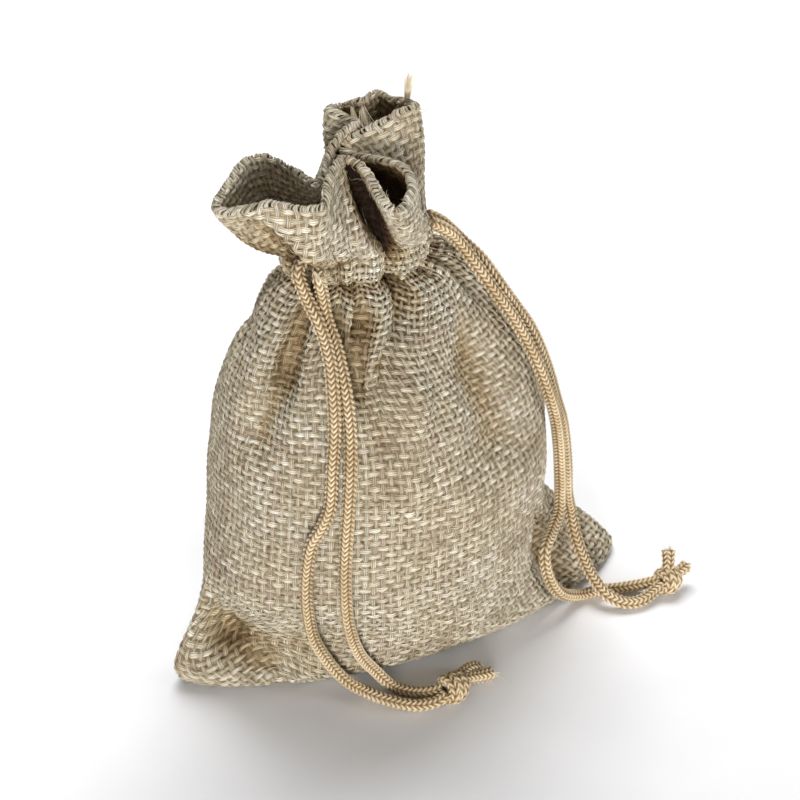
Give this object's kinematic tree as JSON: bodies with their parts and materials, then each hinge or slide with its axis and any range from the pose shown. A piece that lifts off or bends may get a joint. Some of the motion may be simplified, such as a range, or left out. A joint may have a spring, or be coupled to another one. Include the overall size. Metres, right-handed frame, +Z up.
{
  "type": "drawstring sack",
  "caption": "Small drawstring sack of coarse plain-woven burlap, standing filled on a narrow base, its neck gathered shut by paired cords that end in knots",
  "frame": {"origin": "middle of the sack's footprint on the surface it stands on, below the middle of the cloth's bounding box", "axes": "+Z up, from the base to the heading above the drawn neck; X across the width between the two side seams; -Y towards the side the four cord strands hang down"},
  "size_m": [0.0963, 0.0541, 0.1014],
  "materials": {
    "burlap": "coarse matt plain weave",
    "cord": "matt knitted cord"
  },
  "bodies": {
    "root": {"sack_cloth": "burlap", "cord_left_outer": "cord", "cord_left_inner": "cord", "cord_right_front": "cord", "cord_right_back": "cord", "knot_left": "cord", "knot_right": "cord"}
  },
  "joints": []
}
